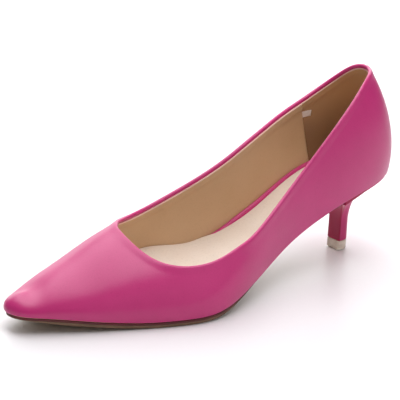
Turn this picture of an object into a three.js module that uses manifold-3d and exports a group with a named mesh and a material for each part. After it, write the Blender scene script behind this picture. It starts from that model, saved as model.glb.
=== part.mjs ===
// Pointed toe pump with a low slender heel, for the left foot, as a scene of closed solids.
//
// Millimetres, +Z up. The shoe stands on the floor z = 0 with its toe towards -X and the
// outer (lateral) side of the foot towards -Y. While the pieces are made, x = 0 is the back
// of the heel seat; the finished group is centred over its own footprint.
//
// The form is the last. Its feather line, where upper and sole meet, is a closed ring in plan
// that follows the bottom profile in height. A ridge line runs over the foot from the toe to
// above the heel. Each cross section is one cubic arc from the feather line to the ridge.

import * as THREE from "three";
import Module from "manifold-3d";
import { mergeVertices } from "three/addons/utils/BufferGeometryUtils.js";

// Last
const LENGTH = 245;
const BALL_WIDTH = 74;
const LAST_HEIGHT = 78;
const SEAT_HEIGHT = 46;
const TOE_SPRING = 6.5;

// Upper and sole
const UPPER_WALL = 1.8;
const SOLE_THICKNESS = 2.5;
const SOLE_INSET = 0.6;
const INSOLE_THICKNESS = 2.2;
const SOCK_THICKNESS = 1.2;
const SOCK_INSET = 2.4;

// Heel, its clear top lift and the steel pin that holds the lift
const HEEL_SEAT_LENGTH = 48;
const HEEL_INSET = 1.0;
const HEEL_RIM = 1.4;
const STEM_FRONT = 31.8;
const STEM_WIDTH = 9.6;
const STEM_DEPTH = 8.4;
const STEM_STRAIGHT = 13;
const LIFT_HEIGHT = 5.4;
const LIFT_FLOOR = 1.2;
const PIN_RADIUS = 1.2;
const PIN_LENGTH = 18;

// Space left between two pieces that touch, and round the insole inside the upper
const GAP = 0.3;
const SIDE_GAP = 0.5;

// Sections of the last from toe to heel. Lengths are shares: every X and the ridge's X of
// LENGTH, forwards from the heel; every Y and bulge of BALL_WIDTH, the medial side and the
// ridge towards +Y; ridgeZ of LAST_HEIGHT, above the sole under it. rise and reach are the
// shares of the section's height and half width that its two inner control points take.
const SECTION_COLUMNS = [
  "latX", "latY", "medX", "medY", "ridgeX", "ridgeY", "ridgeZ", "latBulge", "medBulge",
  "rise", "latReach", "medReach",
];
const SECTIONS = [
  [1.000, 0.046, 1.000, 0.046, 0.960, 0.054, 0.125, 0.027, 0.027, 0.60, 0.50, 0.50],
  [0.985, 0.061, 0.985, 0.150, 0.948, 0.054, 0.132, 0.027, 0.027, 0.60, 0.52, 0.52],
  [0.945, 0.149, 0.940, 0.229, 0.910, 0.054, 0.196, 0.029, 0.029, 0.56, 0.55, 0.55],
  [0.875, 0.276, 0.865, 0.319, 0.850, 0.056, 0.302, 0.037, 0.033, 0.50, 0.55, 0.52],
  [0.790, 0.407, 0.780, 0.384, 0.775, 0.060, 0.432, 0.049, 0.037, 0.47, 0.54, 0.48],
  [0.700, 0.529, 0.700, 0.419, 0.700, 0.063, 0.524, 0.060, 0.041, 0.44, 0.54, 0.46],
  [0.605, 0.583, 0.605, 0.412, 0.620, 0.054, 0.647, 0.066, 0.053, 0.49, 0.56, 0.49],
  [0.490, 0.484, 0.490, 0.302, 0.520, 0.039, 0.811, 0.068, 0.068, 0.52, 0.60, 0.55],
  [0.360, 0.354, 0.360, 0.220, 0.410, 0.019, 0.964, 0.068, 0.074, 0.54, 0.65, 0.64],
  [0.230, 0.338, 0.230, 0.282, 0.315, 0.005, 1.051, 0.068, 0.068, 0.54, 0.70, 0.70],
  [0.115, 0.309, 0.115, 0.308, 0.230, 0.000, 1.066, 0.073, 0.068, 0.47, 0.67, 0.68],
  [0.030, 0.193, 0.030, 0.193, 0.160, 0.000, 1.010, 0.083, 0.080, 0.43, 0.48, 0.49],
  [0.000, 0.000, 0.000, 0.000, 0.128, 0.000, 0.975, 0.087, 0.087, 0.38, 0.35, 0.35],
].map(named(SECTION_COLUMNS));

// Bottom profile under the feather line: x as a share of LENGTH from the heel, then the
// height as shares of SEAT_HEIGHT behind the ball and of TOE_SPRING before it.
const PROFILE = [
  [0.00, 1.000, 0], [0.08, 0.950, 0], [0.16, 0.868, 0], [0.24, 0.741, 0],
  [0.34, 0.515, 0], [0.44, 0.284, 0], [0.54, 0.112, 0], [0.62, 0.013, 0],
  [0.67, 0, 0], [0.74, 0, 0], [0.82, 0, 0.20], [0.91, 0, 0.62], [1.00, 0, 0.95],
].map(named(["x", "seat", "spring"]));

// Top line of the opening. The throat is a share of LENGTH along the ridge. Each row then
// gives the way from the throat to the back seam and the height, as shares of the section.
const THROAT = 0.732;
const TOP_LATERAL = [
  [0.034, 0.545], [0.227, 0.344], [0.325, 0.291], [0.505, 0.309], [0.695, 0.464], [0.835, 0.600],
].map(named(["way", "up"]));
const TOP_BACK = 0.665;
const TOP_MEDIAL = [
  [0.877, 0.585], [0.708, 0.383], [0.502, 0.399], [0.392, 0.419], [0.131, 0.576],
].map(named(["way", "up"]));
// How fast the line falls at the throat, and how far it swings towards the toe on the outer side
const TOP_TURN = 0.30;
const TOP_SWING = 0.03;

// How finely the surfaces are divided
const VAMP_COLUMNS = 12;
const SIDE_COLUMNS = 25;
const SHELL_ROWS = 12;
const FAN = 0.26;
const PLATE_ROWS = 30;
const PLATE_ACROSS = 6;
const HEEL_ROWS = 14;
const HEEL_LAYERS = 11;

const wasm = await Module();
wasm.setup();

// Small maths helpers

function named(columns) {
  return (row) => Object.fromEntries(columns.map((name, i) => [name, row[i]]));
}

const mix = (a, b, t) => a + (b - a) * t;

function solve(matrix, values) {
  const n = matrix.length;
  const rows = matrix.map((row, i) => [...row, ...values[i]]);
  for (let i = 0; i < n; i++) {
    let best = i;
    for (let j = i + 1; j < n; j++) {
      if (Math.abs(rows[j][i]) > Math.abs(rows[best][i])) best = j;
    }
    [rows[i], rows[best]] = [rows[best], rows[i]];
    for (let j = i + 1; j < n; j++) {
      const factor = rows[j][i] / rows[i][i];
      if (factor === 0) continue;
      for (let k = i; k < rows[i].length; k++) rows[j][k] -= factor * rows[i][k];
    }
  }
  for (let i = n - 1; i >= 0; i--) {
    for (let k = n; k < rows[i].length; k++) {
      for (let j = i + 1; j < n; j++) rows[i][k] -= rows[i][j] * rows[j][k];
      rows[i][k] /= rows[i][i];
    }
  }
  return rows.map((row) => row.slice(n));
}

// Cubic spline through rows of numbers at the given knots. A closed one has one knot more
// than rows. An open one is natural at its ends, or leaves them with the given slopes.
function spline(knots, rows, { closed = false, startSlope, endSlope } = {}) {
  const count = rows.length;
  const last = knots.length - 1;
  const width = rows[0].length;
  const step = (i) => knots[i + 1] - knots[i];
  const row = (i) => rows[(i + count) % count];
  const rate = (i, k) => (row(i + 1)[k] - row(i)[k]) / step(i);
  const columns = [...Array(width).keys()];
  const matrix = rows.map(() => Array(count).fill(0));
  const values = rows.map(() => Array(width).fill(0));
  for (let i = 0; i < count; i++) {
    const inside = closed || (i > 0 && i < count - 1);
    if (inside) {
      const before = closed ? (i + last - 1) % last : i - 1;
      matrix[i][(i + count - 1) % count] += step(before);
      matrix[i][i] += 2 * (step(before) + step(i));
      matrix[i][(i + 1) % count] += step(i);
      values[i] = columns.map((k) => 6 * (rate(i, k) - (row(i)[k] - row(i - 1)[k]) / step(before)));
    } else if (i === 0 && startSlope) {
      matrix[i][i] = 2 * step(0);
      matrix[i][i + 1] = step(0);
      values[i] = columns.map((k) => 6 * (rate(0, k) - startSlope[k]));
    } else if (i > 0 && endSlope) {
      matrix[i][i] = 2 * step(i - 1);
      matrix[i][i - 1] = step(i - 1);
      values[i] = columns.map((k) => 6 * (endSlope[k] - rate(i - 1, k)));
    } else {
      matrix[i][i] = 1;
    }
  }
  const bend = solve(matrix, values);
  return (t) => {
    const span = knots[last] - knots[0];
    const at = closed ? ((t - knots[0]) % span + span) % span + knots[0] : t;
    let i = 0;
    while (i < last - 1 && at >= knots[i + 1]) i++;
    const h = step(i);
    const a = (knots[i + 1] - at) / h;
    const b = (at - knots[i]) / h;
    const next = (i + 1) % count;
    return columns.map((k) => a * rows[i][k] + b * rows[next][k]
      + ((a ** 3 - a) * bend[i][k] + (b ** 3 - b) * bend[next][k]) * h * h / 6);
  };
}

// Parameters from a to b that divide a curve into steps of even length, closer at both ends
// where ease is above 0
function evenSteps(curve, a, b, steps, ease = 0) {
  const fine = 240;
  const at = [...Array(fine + 1).keys()].map((i) => mix(a, b, i / fine));
  const points = at.map(curve);
  const length = [0];
  for (let i = 1; i <= fine; i++) length.push(length[i - 1] + points[i].distanceTo(points[i - 1]));
  return [...Array(steps + 1).keys()].map((j) => {
    const share = j / steps - ease * Math.sin(2 * Math.PI * j / steps) / (2 * Math.PI);
    const target = share * length[fine];
    let i = 1;
    while (i < fine && length[i] < target) i++;
    const part = (target - length[i - 1]) / (length[i] - length[i - 1]);
    return mix(at[i - 1], at[i], Math.min(1, Math.max(0, part)));
  });
}

function bisect(f, low, high) {
  let a = low;
  let b = high;
  const rising = f(b) > f(a);
  for (let i = 0; i < 60; i++) {
    const middle = (a + b) / 2;
    if (f(middle) > 0 === rising) b = middle;
    else a = middle;
  }
  return (a + b) / 2;
}

// The last. Around the feather line u runs 0 at the toe, along the lateral side, 1 at the
// back of the heel and along the medial side to 2, the toe again.

const feather0 = SOLE_THICKNESS + GAP;
const profile = spline(
  PROFILE.map((p) => p.x),
  PROFILE.map((p) => [p.seat * (SEAT_HEIGHT - feather0) + p.spring * TOE_SPRING]),
);
const featherZ = (x) => feather0 + Math.max(0, profile(-x / LENGTH)[0]);

const lateralRows = SECTIONS.map((s) => [s.latX, -s.latY, s.ridgeX, s.latBulge, s.rise, s.latReach]);
const medialRows = SECTIONS.map((s) => [s.medX, s.medY, s.ridgeX, s.medBulge, s.rise, s.medReach]);
lateralRows[0][1] = SECTIONS[0].latY;
const ringRows = [...lateralRows, ...medialRows.slice(1, -1).reverse()];
const HEEL_ROW = SECTIONS.length - 1;
const ringKnots = [0];
for (let i = 0; i < ringRows.length; i++) {
  const [ax, ay] = ringRows[i];
  const [bx, by] = ringRows[(i + 1) % ringRows.length];
  const chord = Math.hypot((bx - ax) * LENGTH, (by - ay) * BALL_WIDTH);
  ringKnots.push(ringKnots[i] + Math.sqrt(chord));
}
const half = ringKnots[HEEL_ROW];
const whole = ringKnots.at(-1);
const ring = spline(
  ringKnots.map((k) => (k <= half ? k / half : 1 + (k - half) / (whole - half))),
  ringRows,
  { closed: true },
);

const ridgeKnots = SECTIONS.map((s) => 1 - s.ridgeX);
const ridge = spline(
  ridgeKnots,
  SECTIONS.map((s) => [s.ridgeY * BALL_WIDTH, featherZ(-s.ridgeX * LENGTH) + s.ridgeZ * LAST_HEIGHT]),
);

function ridgePoint(share) {
  const [y, z] = ridge(1 - share);
  return new THREE.Vector3(-share * LENGTH, y, z);
}

function ridgeSlope(share) {
  const e = 1e-4;
  return (ridge(1 - share + e)[1] - ridge(1 - share - e)[1]) / (2 * e * LENGTH);
}

function ridgeNormal(share) {
  return new THREE.Vector3(-ridgeSlope(share), 0, 1).normalize();
}

function featherPoint(u) {
  const [x, y] = ring(u);
  return new THREE.Vector3(-x * LENGTH, y * BALL_WIDTH, featherZ(-x * LENGTH));
}

// Outward direction in plan
function featherNormal(u) {
  const e = 1e-4;
  const [ax, ay] = ring(u - e);
  const [bx, by] = ring(u + e);
  return new THREE.Vector3((by - ay) * BALL_WIDTH, (bx - ax) * LENGTH, 0).normalize();
}

// Point of the outer surface: w runs 0 at the feather line to 1 on the ridge
function lastPoint(u, w) {
  const [, , ridgeX, bulge, rise, reach] = ring(u);
  const foot = featherPoint(u);
  const top = ridgePoint(ridgeX);
  const low = foot.clone().addScaledVector(featherNormal(u), bulge * BALL_WIDTH);
  low.z += rise * (top.z - foot.z);
  const away = new THREE.Vector3(foot.x - top.x, foot.y - top.y, 0);
  const high = top.clone().addScaledVector(away, reach);
  high.z += reach * away.x * ridgeSlope(ridgeX);
  return new THREE.CubicBezierCurve3(foot, low, high, top).getPoint(w);
}

function lastNormal(u, w) {
  const e = 1e-3;
  const wa = Math.max(0, w - e);
  const wb = Math.min(1, w + e);
  const along = lastPoint(u + e, w).sub(lastPoint(u - e, w));
  const up = lastPoint(u, wb).sub(lastPoint(u, wa));
  return along.cross(up).normalize();
}

// Point of the feather line moved inwards in plan, at the given height above or below it
function insetPoint(u, inset, height = 0) {
  const point = featherPoint(u).addScaledVector(featherNormal(u), -inset);
  point.z = featherZ(point.x) + height;
  return point;
}

// Top line

const ridgeShare = (u) => ring(u)[2];
const throatLateral = bisect((u) => ridgeShare(u) - THROAT, 0.02, 0.9);
const throatMedial = bisect((u) => ridgeShare(u) - THROAT, 1.1, 1.98);
const topRows = [
  [throatLateral, 1],
  ...TOP_LATERAL.map((p) => [mix(throatLateral, 1, p.way), p.up]),
  [1, TOP_BACK],
  ...TOP_MEDIAL.map((p) => [mix(throatMedial, 1, p.way), p.up]),
  [throatMedial, 1],
];
const TOP_BACK_ROW = TOP_LATERAL.length + 1;
const topLine = spline(
  topRows.map((_, i) => i),
  topRows,
  { startSlope: [-TOP_SWING, -TOP_TURN], endSlope: [TOP_SWING, TOP_TURN] },
);
const topPoint = (k) => lastPoint(topLine(k)[0], Math.min(1, topLine(k)[1]));

// Builder for a closed body from shared vertices

class Body {
  positions = [];
  triangles = [];

  vertex(point) {
    this.positions.push(point);
    return this.positions.length - 1;
  }

  triangle(a, b, c) {
    if (a !== b && b !== c && c !== a) this.triangles.push(a, b, c);
  }

  // Four corners in order, split along the shorter diagonal
  quad(a, b, c, d) {
    const p = this.positions;
    if (p[a].distanceTo(p[c]) <= p[b].distanceTo(p[d])) {
      this.triangle(a, b, c);
      this.triangle(a, c, d);
    } else {
      this.triangle(a, b, d);
      this.triangle(b, c, d);
    }
  }

  // Faces between two rows of equal length
  strip(first, second) {
    for (let i = 0; i + 1 < first.length; i++) {
      this.quad(first[i], second[i], second[i + 1], first[i + 1]);
    }
  }

  geometry() {
    const geometry = new THREE.BufferGeometry();
    const flat = this.positions.flatMap((p) => [p.x, p.y, p.z]);
    geometry.setAttribute("position", new THREE.Float32BufferAttribute(flat, 3));
    geometry.setIndex(this.triangles);
    geometry.computeVertexNormals();
    return geometry;
  }
}

// Upper: one hollow shell. Columns run up from the feather line. On the vamp the lateral and
// the medial ones meet on the ridge, behind the throat each one ends on the top line.

function upperColumns() {
  const vamp = [];
  for (let i = 0; i <= VAMP_COLUMNS; i++) {
    const share = i / VAMP_COLUMNS;
    const topLateral = throatLateral * share ** 1.15;
    const ridgeX = i === VAMP_COLUMNS ? THROAT : ridgeShare(topLateral);
    const topMedial = i === 0 ? 2 : bisect((u) => ridgeShare(u) - ridgeX, 1.1, 2);
    const lean = FAN * share * share;
    vamp.push({
      ridgeX,
      lateral: { foot: topLateral * (1 - lean), top: [topLateral, 1] },
      medial: { foot: 2 - (2 - topMedial) * (1 - lean), top: [topMedial, 1] },
    });
  }
  const throat = vamp.at(-1);
  const side = (foot, from, to) => {
    const tops = evenSteps(topPoint, from, to, SIDE_COLUMNS, 0.45);
    const feet = evenSteps(featherPoint, foot, 1, SIDE_COLUMNS, 0.1);
    return tops.map((k, i) => ({ foot: feet[i], top: topLine(k) }));
  };
  const lateral = side(throat.lateral.foot, 0, TOP_BACK_ROW).slice(1);
  const medial = side(throat.medial.foot, topRows.length - 1, TOP_BACK_ROW).slice(1, -1);
  return [
    ...vamp.map((c) => ({ ...c.lateral, ridgeX: c.ridgeX })),
    ...lateral,
    ...medial.reverse(),
    ...vamp.slice(1).reverse().map((c) => ({ ...c.medial, ridgeX: c.ridgeX })),
  ];
}

function upper() {
  const body = new Body();
  const columns = upperColumns();
  const count = columns.length;
  const outer = [];
  const inner = [];
  columns.forEach((column, c) => {
    const twin = count - c;
    const shared = column.ridgeX !== undefined && twin < c;
    outer.push([]);
    inner.push([]);
    for (let j = 0; j <= SHELL_ROWS; j++) {
      if (j === SHELL_ROWS && shared) {
        outer[c].push(outer[twin][j]);
        inner[c].push(inner[twin][j]);
        continue;
      }
      const v = j / SHELL_ROWS;
      const u = mix(column.foot, column.top[0], v);
      const w = v * column.top[1];
      const onRidge = j === SHELL_ROWS && column.ridgeX !== undefined;
      const point = onRidge ? ridgePoint(column.ridgeX) : lastPoint(u, w);
      const normal = onRidge ? ridgeNormal(column.ridgeX) : lastNormal(u, w);
      const inside = j === 0
        ? insetPoint(u, UPPER_WALL)
        : point.clone().addScaledVector(normal, -UPPER_WALL);
      outer[c].push(body.vertex(point));
      inner[c].push(body.vertex(inside));
    }
  });
  const bottom = (surface) => [...surface, surface[0]].map((column) => column[0]);
  const open = (surface) => surface
    .slice(VAMP_COLUMNS, count - VAMP_COLUMNS + 1)
    .map((column) => column[SHELL_ROWS]);
  for (let c = 0; c < count; c++) {
    const next = (c + 1) % count;
    body.strip(outer[c], outer[next]);
    body.strip(inner[next], inner[c]);
  }
  body.strip(bottom(outer), bottom(inner));
  body.strip(open(inner), open(outer));
  return body.geometry();
}

// Body between a top and a bottom lid. Rows of the lids run from the front to the back, each
// from the lateral to the medial edge. A wall of layers joins the edges of the two lids.
function lidded({ rows, across, top, bottom, layers = 0, wall }) {
  const body = new Body();
  const lid = (point) => {
    const grid = [];
    for (let i = 0; i <= rows; i++) {
      const single = point(i, 0).distanceTo(point(i, 1)) < 1e-6;
      const shared = single ? body.vertex(point(i, 0)) : undefined;
      grid.push([]);
      for (let m = 0; m <= across; m++) grid[i].push(shared ?? body.vertex(point(i, m / across)));
    }
    return grid;
  };
  const edge = (grid) => {
    const lateral = grid.map((row) => row[0]);
    const medial = grid.map((row) => row[across]).reverse();
    const front = grid[0].slice(0, -1).reverse();
    const back = grid[rows].slice(1, -1);
    return [...lateral, ...back, ...medial, ...front];
  };
  const upperLid = lid(top);
  const lowerLid = lid(bottom);
  for (let i = 0; i < rows; i++) {
    body.strip(upperLid[i], upperLid[i + 1]);
    body.strip(lowerLid[i + 1], lowerLid[i]);
  }
  const highEdge = edge(upperLid);
  let low = edge(lowerLid);
  for (let layer = 1; layer <= layers; layer++) {
    const made = new Map();
    const next = low.map((_, i) => {
      const key = highEdge[i];
      if (!made.has(key)) {
        const from = body.positions[edge(lowerLid)[i]];
        made.set(key, body.vertex(wall(from, body.positions[key], layer)));
      }
      return made.get(key);
    });
    body.strip(next, low);
    low = next;
  }
  body.strip(highEdge, low);
  return body.geometry();
}

// Plate that follows the bottom profile, from the toe to the heel or to a straight cut
function plate({ inset, low, high, end }) {
  const endLateral = end === undefined ? 1 : outlineAt(end, inset, 0.5, 0.999);
  const endMedial = end === undefined ? 1 : outlineAt(end, inset, 1.5, 1.001);
  const ease = 0.35;
  const lateral = evenSteps(featherPoint, 0, endLateral, PLATE_ROWS, ease);
  const medial = evenSteps(featherPoint, 2, endMedial, PLATE_ROWS, ease);
  const surface = (height) => (i, m) => {
    const point = insetPoint(lateral[i], inset).lerp(insetPoint(medial[i], inset), m);
    point.z = featherZ(point.x) + height;
    return point;
  };
  return lidded({ rows: PLATE_ROWS, across: PLATE_ACROSS, top: surface(high), bottom: surface(low) });
}

// Parameter at which the inset outline crosses the line x = -back
function outlineAt(back, inset, from, to) {
  return bisect((u) => insetPoint(u, inset).x + back, from, to);
}

// Heel: flares from the stem's flat-fronted section to the outline of the seat

const stemBottom = LIFT_HEIGHT + GAP;

// Half of the stem's section, from its front corner to the middle of its back
function stemPoint(share, side) {
  const halfWidth = STEM_WIDTH / 2;
  const straight = STEM_DEPTH - halfWidth;
  const arc = halfWidth * Math.PI / 2;
  const way = share * (straight + arc);
  const turn = Math.max(0, way - straight) / halfWidth;
  const x = -STEM_FRONT + Math.min(way, straight) + halfWidth * Math.sin(turn);
  return new THREE.Vector3(x, side * halfWidth * Math.cos(turn), 0);
}

function heel() {
  const frontLateral = outlineAt(HEEL_SEAT_LENGTH, HEEL_INSET, 0.5, 0.999);
  const frontMedial = outlineAt(HEEL_SEAT_LENGTH, HEEL_INSET, 1.5, 1.001);
  const lateral = evenSteps(featherPoint, frontLateral, 1, HEEL_ROWS);
  const medial = evenSteps(featherPoint, frontMedial, 1, HEEL_ROWS);
  const top = (i, m) => {
    const point = insetPoint(lateral[i], HEEL_INSET).lerp(insetPoint(medial[i], HEEL_INSET), m);
    point.z = featherZ(point.x) - GAP;
    return point;
  };
  const bottom = (i, m) => {
    const point = stemPoint(i / HEEL_ROWS, -1).lerp(stemPoint(i / HEEL_ROWS, 1), m);
    point.z = stemBottom;
    return point;
  };
  // The rim under the seat is as deep as the sole at the breast and thins out backwards
  const wall = (from, to, layer) => {
    const back = 1 + to.x / HEEL_SEAT_LENGTH;
    const rim = to.clone();
    rim.z -= mix(SOLE_THICKNESS, HEEL_RIM, Math.min(1, back * 3));
    const straight = from.clone();
    straight.z += STEM_STRAIGHT;
    const low = straight.clone();
    low.z = mix(straight.z, rim.z, 0.62);
    low.x = mix(straight.x, rim.x, 0.06);
    low.y = mix(straight.y, rim.y, 0.06);
    const high = rim.clone().lerp(new THREE.Vector3(straight.x, straight.y, rim.z), 0.5);
    high.z -= 0.2 * (rim.z - straight.z);
    if (layer === 1) return straight;
    return new THREE.CubicBezierCurve3(straight, low, high, rim).getPoint((layer - 1) / (HEEL_LAYERS - 1));
  };
  return lidded({
    rows: HEEL_ROWS, across: PLATE_ACROSS, top, bottom, layers: HEEL_LAYERS, wall,
  });
}

function topLift() {
  const shape = new THREE.Shape();
  const steps = [...Array(HEEL_ROWS + 1).keys()].map((i) => i / HEEL_ROWS);
  const outline = [
    ...steps.map((s) => stemPoint(s, -1)),
    ...steps.slice(0, -1).reverse().map((s) => stemPoint(s, 1)),
  ];
  shape.setFromPoints(outline.map((p) => new THREE.Vector2(p.x, p.y)));
  return new THREE.ExtrudeGeometry(shape, { depth: LIFT_HEIGHT, bevelEnabled: false, steps: 1 });
}

// Pin up through the lift into the stem

const pinX = -STEM_FRONT + STEM_DEPTH / 2;

function pinCylinder(radius, bottom, length) {
  const cylinder = new THREE.CylinderGeometry(radius, radius, length, 20);
  cylinder.rotateX(Math.PI / 2);
  cylinder.translate(pinX, 0, bottom + length / 2);
  return cylinder;
}

function toManifold(geometry) {
  const bare = geometry.clone();
  bare.deleteAttribute("normal");
  bare.deleteAttribute("uv");
  const merged = mergeVertices(bare, 1e-4);
  return new wasm.Manifold(new wasm.Mesh({
    numProp: 3,
    vertProperties: new Float32Array(merged.attributes.position.array),
    triVerts: new Uint32Array(merged.index.array),
  }));
}

function cut(geometry, tool) {
  const mesh = toManifold(geometry).subtract(toManifold(tool)).getMesh();
  const result = new THREE.BufferGeometry();
  result.setAttribute("position", new THREE.BufferAttribute(new Float32Array(mesh.vertProperties), 3));
  result.setIndex(new THREE.BufferAttribute(new Uint32Array(mesh.triVerts), 1));
  result.computeVertexNormals();
  return result;
}

const pinHole = pinCylinder(PIN_RADIUS + GAP, LIFT_FLOOR, PIN_LENGTH + 2 * GAP);
const pin = pinCylinder(PIN_RADIUS, LIFT_FLOOR + GAP, PIN_LENGTH);

// Scene

const shoe = new THREE.Group();

function add(name, geometry, color, roughness, metalness = 0) {
  const mesh = new THREE.Mesh(geometry, new THREE.MeshStandardMaterial({ color, roughness, metalness }));
  mesh.name = name;
  shoe.add(mesh);
}

const innerWall = UPPER_WALL + SIDE_GAP;
const sockLow = INSOLE_THICKNESS + GAP;

add("upper", upper(), 0xc23f78, 0.45);
add("outsole", plate({
  inset: SOLE_INSET, low: -GAP - SOLE_THICKNESS, high: -GAP, end: HEEL_SEAT_LENGTH + GAP,
}), 0x6b4a33, 0.6);
add("insole", plate({ inset: innerWall, low: 0, high: INSOLE_THICKNESS }), 0xd45a90, 0.55);
add("sock", plate({
  inset: innerWall + SOCK_INSET, low: sockLow, high: sockLow + SOCK_THICKNESS,
}), 0xe9dcc6, 0.7);
add("heel_block", cut(heel(), pinHole), 0xc23f78, 0.3);
add("top_lift", cut(topLift(), pinHole), 0xcdbea5, 0.2);
add("lift_pin", pin, 0x6e6a66, 0.35, 0.9);

// The group's origin is the middle of its footprint, on the floor
const box = new THREE.Box3().setFromObject(shoe);
const middle = box.getCenter(new THREE.Vector3());
shoe.position.set(-middle.x, -middle.y, 0);

export default shoe;
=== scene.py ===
"""Looks of a pointed toe pump for the left foot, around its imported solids.

Millimetres in the tables and the functions of the last, metres in the scene. As in the part,
x = 0 is the back of the heel seat, the toe points to -X and the outer (lateral) side to -Y.
"""

import math

import bmesh
import bpy
import numpy as np
from mathutils import Matrix, Vector


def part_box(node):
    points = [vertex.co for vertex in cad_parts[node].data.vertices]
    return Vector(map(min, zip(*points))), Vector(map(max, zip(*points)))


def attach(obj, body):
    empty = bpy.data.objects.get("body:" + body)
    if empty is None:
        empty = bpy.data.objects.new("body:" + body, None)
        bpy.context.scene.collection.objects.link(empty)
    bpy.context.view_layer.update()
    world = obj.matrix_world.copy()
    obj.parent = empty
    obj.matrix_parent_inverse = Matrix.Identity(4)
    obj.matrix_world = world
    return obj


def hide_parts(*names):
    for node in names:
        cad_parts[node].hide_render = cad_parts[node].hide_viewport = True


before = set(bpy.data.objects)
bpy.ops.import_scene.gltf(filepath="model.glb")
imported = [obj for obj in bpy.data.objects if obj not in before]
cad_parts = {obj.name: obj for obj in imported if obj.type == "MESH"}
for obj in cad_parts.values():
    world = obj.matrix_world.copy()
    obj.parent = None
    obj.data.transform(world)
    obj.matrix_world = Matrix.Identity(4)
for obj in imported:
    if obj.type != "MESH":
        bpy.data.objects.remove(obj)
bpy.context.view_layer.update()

MM = 0.001

# Last, as in the part
LENGTH = 245
BALL_WIDTH = 74
LAST_HEIGHT = 78
SEAT_HEIGHT = 46
TOE_SPRING = 6.5
SOLE_THICKNESS = 2.5
SOLE_INSET = 0.6
INSOLE_THICKNESS = 2.2
SOCK_THICKNESS = 1.2
HEEL_SEAT_LENGTH = 48
HEEL_INSET = 1.0
HEEL_RIM = 1.4
STEM_FRONT = 31.8
STEM_WIDTH = 9.6
STEM_DEPTH = 8.4
STEM_STRAIGHT = 13
LIFT_HEIGHT = 5.4
LIFT_FLOOR = 1.2
PIN_RADIUS = 1.2
GAP = 0.3

# latX, latY, medX, medY, ridgeX, ridgeY, ridgeZ, latBulge, medBulge, rise, latReach, medReach
SECTIONS = np.array([
    [1.000, 0.046, 1.000, 0.046, 0.960, 0.054, 0.125, 0.027, 0.027, 0.60, 0.50, 0.50],
    [0.985, 0.061, 0.985, 0.150, 0.948, 0.054, 0.132, 0.027, 0.027, 0.60, 0.52, 0.52],
    [0.945, 0.149, 0.940, 0.229, 0.910, 0.054, 0.196, 0.029, 0.029, 0.56, 0.55, 0.55],
    [0.875, 0.276, 0.865, 0.319, 0.850, 0.056, 0.302, 0.037, 0.033, 0.50, 0.55, 0.52],
    [0.790, 0.407, 0.780, 0.384, 0.775, 0.060, 0.432, 0.049, 0.037, 0.47, 0.54, 0.48],
    [0.700, 0.529, 0.700, 0.419, 0.700, 0.063, 0.524, 0.060, 0.041, 0.44, 0.54, 0.46],
    [0.605, 0.583, 0.605, 0.412, 0.620, 0.054, 0.647, 0.066, 0.053, 0.49, 0.56, 0.49],
    [0.490, 0.484, 0.490, 0.302, 0.520, 0.039, 0.811, 0.068, 0.068, 0.52, 0.60, 0.55],
    [0.360, 0.354, 0.360, 0.220, 0.410, 0.019, 0.964, 0.068, 0.074, 0.54, 0.65, 0.64],
    [0.230, 0.338, 0.230, 0.282, 0.315, 0.005, 1.051, 0.068, 0.068, 0.54, 0.70, 0.70],
    [0.115, 0.309, 0.115, 0.308, 0.230, 0.000, 1.066, 0.073, 0.068, 0.47, 0.67, 0.68],
    [0.030, 0.193, 0.030, 0.193, 0.160, 0.000, 1.010, 0.083, 0.080, 0.43, 0.48, 0.49],
    [0.000, 0.000, 0.000, 0.000, 0.128, 0.000, 0.975, 0.087, 0.087, 0.38, 0.35, 0.35],
])
# x from the heel, share of the seat's height, share of the toe spring
PROFILE = np.array([
    [0.00, 1.000, 0], [0.08, 0.950, 0], [0.16, 0.868, 0], [0.24, 0.741, 0],
    [0.34, 0.515, 0], [0.44, 0.284, 0], [0.54, 0.112, 0], [0.62, 0.013, 0],
    [0.67, 0, 0], [0.74, 0, 0], [0.82, 0, 0.20], [0.91, 0, 0.62], [1.00, 0, 0.95],
])
# Top line: way from the throat to the back seam, height up the section
THROAT = 0.732
TOP_LATERAL = [
    [0.034, 0.545], [0.227, 0.344], [0.325, 0.291], [0.505, 0.309], [0.695, 0.464], [0.835, 0.600],
]
TOP_BACK = 0.665
TOP_MEDIAL = [[0.877, 0.585], [0.708, 0.383], [0.502, 0.399], [0.392, 0.419], [0.131, 0.576]]
TOP_TURN = 0.30
TOP_SWING = 0.03

# Leather, lining and the folded edge of the top line, which swells over its depth
LEATHER = 1.1
FOLD_RADIUS = 0.9
FOLD_DEPTH = 4.2
FOLD_SWELL = 0.36
LINING = 0.7
LINING_DROP = 1.75
LINING_GAP = 0.03
CUT_EDGE = 0.18

# The counter's lining is thinner; its front edges stand this far from the heel's back
COUNTER_STEP = 0.25
SEAM_TOP = 44.7
SEAM_FOOT = 33.0

# Back seam: a groove with a low swelling on both sides
SEAM_GROOVE = 0.22
GROOVE_WIDTH = 0.42
SEAM_SWELL = 0.10
SWELL_WIDTH = 0.8
SWELL_AT = 1.3

# Rounding where the leather turns under the last, at the forepart and at the heel, and how
# far its inside face is tucked in there
FEATHER_ROUND = 1.2
HEEL_ROUND = 0.55
FOOT_TUCK = 0.6

# How far the sole is set in along the waist, and how far the sock curls up in front
WAIST_INSET = 1.0
SOCK_CUP = 6.5

# Gaps between the heel's parts, and the soft corners of the breast
LIFT_GAP = 0.12
SEAT_GAP = 0.04
BREAST_CORNER = 0.55
LIFT_CORNER = 0.5

# Pink roll round the back half of the sock
ROLL_HEIGHT = 2.9
ROLL_WIDTH = 2.2
ROLL_START = 116
ROLL_FULL = 88

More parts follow.
